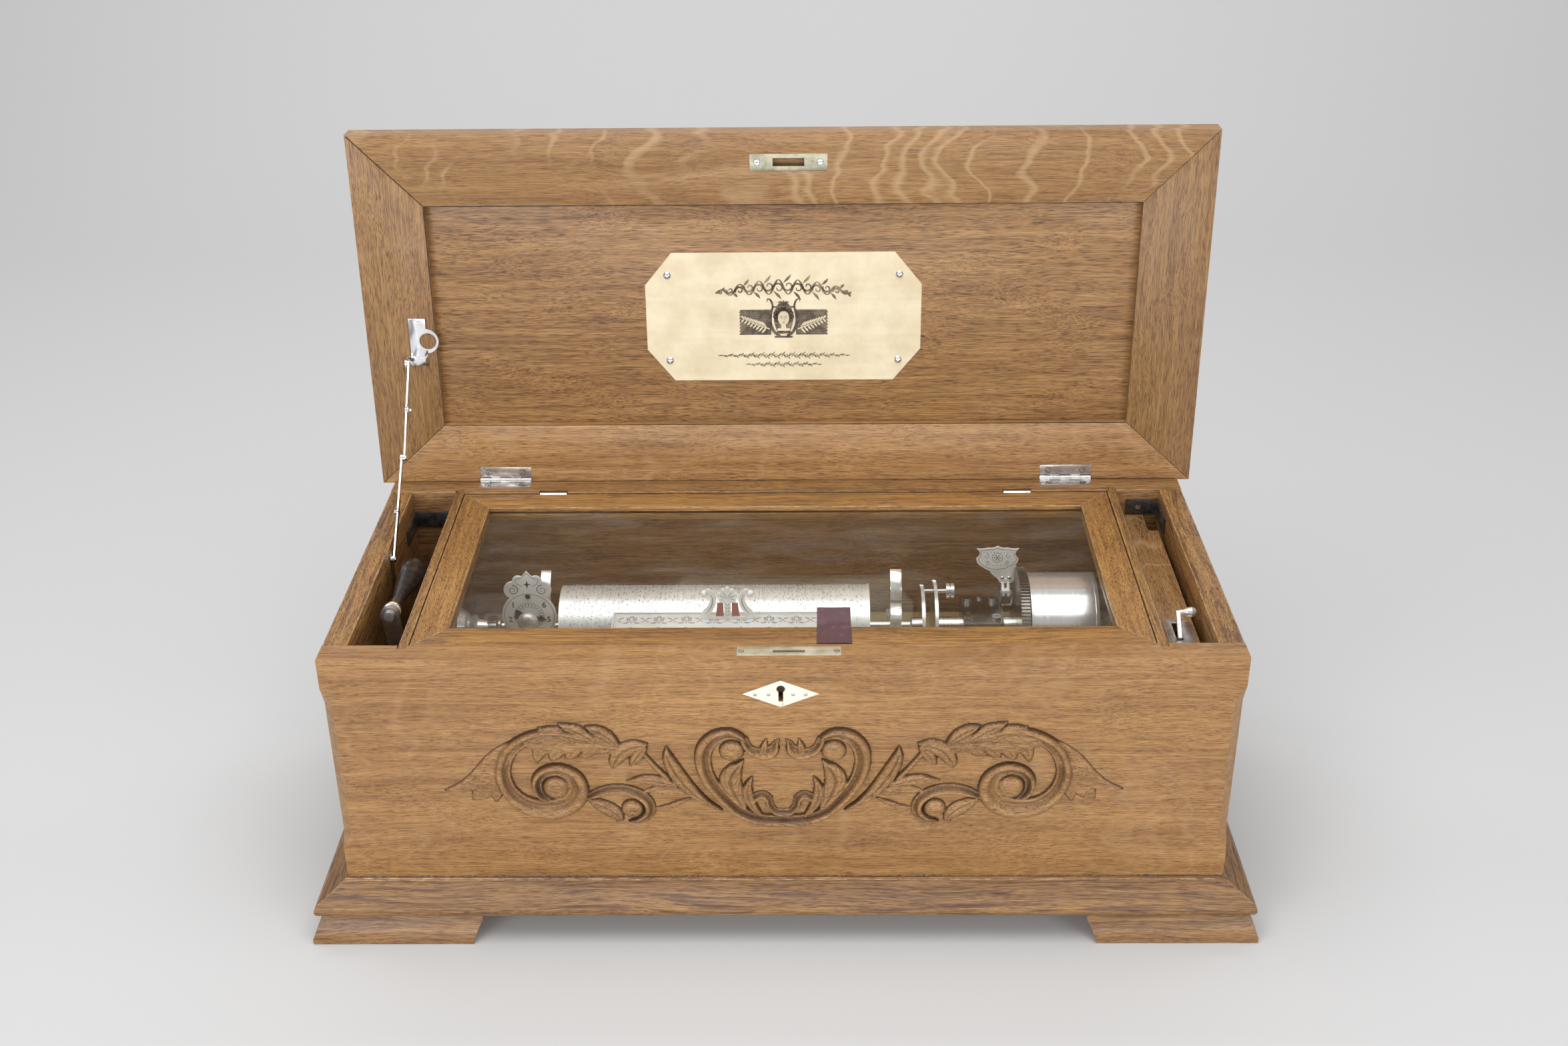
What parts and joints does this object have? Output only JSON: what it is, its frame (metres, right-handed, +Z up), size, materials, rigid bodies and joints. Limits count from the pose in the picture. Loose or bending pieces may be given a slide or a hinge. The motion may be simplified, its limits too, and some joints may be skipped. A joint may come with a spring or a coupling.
{
  "type": "wind up music box",
  "caption": "Oak-cased cylinder musical box with a moulded base, bracket feet, open panelled lid, framed glass inner lid and a spring-driven pinned cylinder and comb.",
  "frame": {"origin": "bottom centre of the box around the whole object with its lid open, on the floor", "axes": "+X to the right along the case, +Y to the back, +Z up; the lid stands open in the rest pose"},
  "size_m": [0.776, 0.3756, 0.5793],
  "materials": {
    "case_oak": "waxed golden oak, quarter sawn",
    "carved_oak": "carved oak with dark stain in the hollows",
    "lid_oak": "waxed golden oak",
    "glass_frame_oak": "waxed oak with open pores",
    "black_iron": "black japanned iron",
    "screw_steel": "slotted steel screws",
    "brass": "aged satin brass",
    "bone": "polished bone with a fine crack",
    "nickel": "nickel plate, lightly worn",
    "polished_steel": "polished steel",
    "spring_steel": "blued and grey steel",
    "bed_paint": "bronze paint on cast iron",
    "card": "aged ivory card",
    "pane": "clear glass",
    "strap_leather": "maroon leather",
    "ebonised_wood": "black polished wood",
    "governor_brass": "polished brass"
  },
  "bodies": {
    "case": {"bottom_board": "case_oak", "front_panel": "case_oak", "back_panel": "case_oak", "case_ends": "case_oak", "partitions": "case_oak", "base_mouldings": "case_oak", "bracket_feet": "case_oak", "bed_bearers": "case_oak", "compartment_cover": "case_oak", "front_carving": "carved_oak", "corner_irons": "black_iron", "case_wood_screws": "screw_steel", "box_lock": "brass", "escutcheon": "bone", "hinge_case_leaves": "nickel", "stay_case_bracket": "nickel", "bedplate": "bed_paint", "comb_base": "brass", "comb": "spring_steel", "mechanism_screws": "screw_steel", "bearing_pedestals": "nickel", "dial_plate": "nickel", "drive_block": "spring_steel", "governor_frame": "governor_brass", "control_plate": "nickel"},
    "lid": {"lid_frame_rails": "lid_oak", "lid_panel": "lid_oak", "hinge_lid_leaves": "nickel", "lid_wood_screws": "screw_steel", "strike_plate": "brass", "tune_card": "card", "card_tacks": "brass", "stay_lid_bracket": "nickel"},
    "lower_stay": {"stay_lower_arm": "nickel"},
    "upper_stay": {"stay_upper_arm": "nickel"},
    "glass_lid": {"glass_frame_rails": "glass_frame_oak", "glass_pane": "pane", "lift_strap": "strap_leather", "glass_lid_hinges": "nickel"},
    "bolt": {"lock_bolt": "spring_steel"},
    "crank": {"crank_arm": "spring_steel"},
    "crank_grip": {"crank_handle": "ebonised_wood"},
    "shifter": {"shift_collar": "nickel"},
    "cylinder": {"pinned_cylinder": "polished_steel", "cylinder_arbor": "polished_steel"},
    "drive": {"drive_shaft": "polished_steel", "great_wheel": "polished_steel", "spring_barrel": "polished_steel", "mainspring": "spring_steel"},
    "coupling": {"coupling_pin": "nickel"},
    "winder": {"winding_arbor": "polished_steel"},
    "click": {"winding_click": "polished_steel"},
    "latch_l": {"left_latch": "nickel"},
    "latch_r": {"right_latch": "nickel"},
    "tune": {"tune_selector": "nickel"},
    "zither_lever": {"zither": "nickel"},
    "check_lever": {"safety_check": "nickel"},
    "governor": {"governor_wheel": "polished_steel"},
    "fan": {"governor_fan": "polished_steel"},
    "start_lever": {"start_stop_lever": "nickel"}
  },
  "joints": [
    {"name": "lid_hinge", "type": "hinge", "parent": "case", "child": "lid", "pos_m": [0, 0.15168, 0.258], "axis": [-1, 0, 0], "range_deg": [-92.2, 0]},
    {"name": "stay_foot_pivot", "type": "hinge", "parent": "case", "child": "lower_stay", "pos_m": [-0.3365, 0.02218, 0.247], "axis": [1, 0, 0], "range_deg": [-77.93, 0.01]},
    {"name": "stay_head_pivot", "type": "hinge", "parent": "lid", "child": "upper_stay", "pos_m": [-0.3343, 0.14768, 0.377], "axis": [1, 0, 0], "range_deg": [-2.2, 0.01]},
    {"name": "glass_lid_hinge", "type": "hinge", "parent": "case", "child": "glass_lid", "pos_m": [0, 0.12718, 0.2563], "axis": [-1, 0, 0], "range_deg": [0, 80]},
    {"name": "lock_bolt_throw", "type": "slide", "parent": "case", "child": "bolt", "axis": [1, 0, 0], "range_m": [0, 0.006]},
    {"name": "crank_lift_out", "type": "slide", "parent": "case", "child": "crank", "axis": [0, 0, 1], "range_m": [0, 0.11]},
    {"name": "start_stop", "type": "hinge", "parent": "case", "child": "start_lever", "pos_m": [0.32, -0.08482, 0.14], "axis": [-1, 0, 0], "range_deg": [0, 11]},
    {"name": "tune_selector_turn", "type": "hinge", "parent": "case", "child": "tune", "pos_m": [-0.221, -0.00482, 0.199], "axis": [0, 1, 0], "range_deg": [-205.71, 51.43]},
    {"name": "tune_shift", "type": "slide", "parent": "case", "child": "shifter", "axis": [1, 0, 0], "range_m": [-0.0014, 0.00035]},
    {"name": "cylinder_spin", "type": "hinge", "parent": "shifter", "child": "cylinder", "pos_m": [0, 0.02518, 0.177], "axis": [1, 0, 0], "continuous": true},
    {"name": "drive_spin", "type": "hinge", "parent": "case", "child": "drive", "pos_m": [0.2, 0.02518, 0.177], "axis": [1, 0, 0], "continuous": true},
    {"name": "coupling_pull", "type": "slide", "parent": "drive", "child": "coupling", "axis": [1, 0, 0], "range_m": [0, 0.005]},
    {"name": "winding_spin", "type": "hinge", "parent": "case", "child": "winder", "pos_m": [0.3, 0.02518, 0.177], "axis": [1, 0, 0], "continuous": true},
    {"name": "click_lift", "type": "hinge", "parent": "case", "child": "click", "pos_m": [0.2865, 0.00318, 0.193], "axis": [1, 0, 0], "range_deg": [0, 12]},
    {"name": "left_latch_lift", "type": "hinge", "parent": "case", "child": "latch_l", "pos_m": [-0.209, 0.04218, 0.178], "axis": [-1, 0, 0], "range_deg": [0, 55]},
    {"name": "right_latch_lift", "type": "hinge", "parent": "case", "child": "latch_r", "pos_m": [0.0975, 0.04218, 0.178], "axis": [-1, 0, 0], "range_deg": [0, 55]},
    {"name": "zither_lift", "type": "hinge", "parent": "case", "child": "zither_lever", "pos_m": [-0.048, -0.05982, 0.199], "axis": [1, 0, 0], "range_deg": [0, 8]},
    {"name": "safety_check_tilt", "type": "hinge", "parent": "case", "child": "check_lever", "pos_m": [0.1955, 0.04718, 0.196], "axis": [1, 0, 0], "range_deg": [0, 6]},
    {"name": "governor_spin", "type": "hinge", "parent": "case", "child": "governor", "pos_m": [0.198, -0.03082, 0.177], "axis": [1, 0, 0], "continuous": true},
    {"name": "fan_spin", "type": "hinge", "parent": "case", "child": "fan", "pos_m": [0.189, -0.04882, 0.18], "axis": [0, 0, 1], "continuous": true},
    {"name": "crank_grip_spin", "type": "hinge", "parent": "crank", "child": "crank_grip", "pos_m": [-0.3205, -0.07082, 0.2475], "axis": [0, 0.9939, -0.1104], "continuous": true}
  ],
  "couplings": [
    {"joint": "stay_foot_pivot", "follows": "lid_hinge", "ratio": 0.84518},
    {"joint": "stay_head_pivot", "follows": "lid_hinge", "ratio": 0.023717},
    {"joint": "tune_selector_turn", "follows": "tune_shift", "rad_per_m": 2564.1},
    {"joint": "drive_spin", "follows": "cylinder_spin", "ratio": 1},
    {"joint": "governor_spin", "follows": "cylinder_spin", "ratio": -8.3333},
    {"joint": "fan_spin", "follows": "cylinder_spin", "ratio": -300}
  ]
}
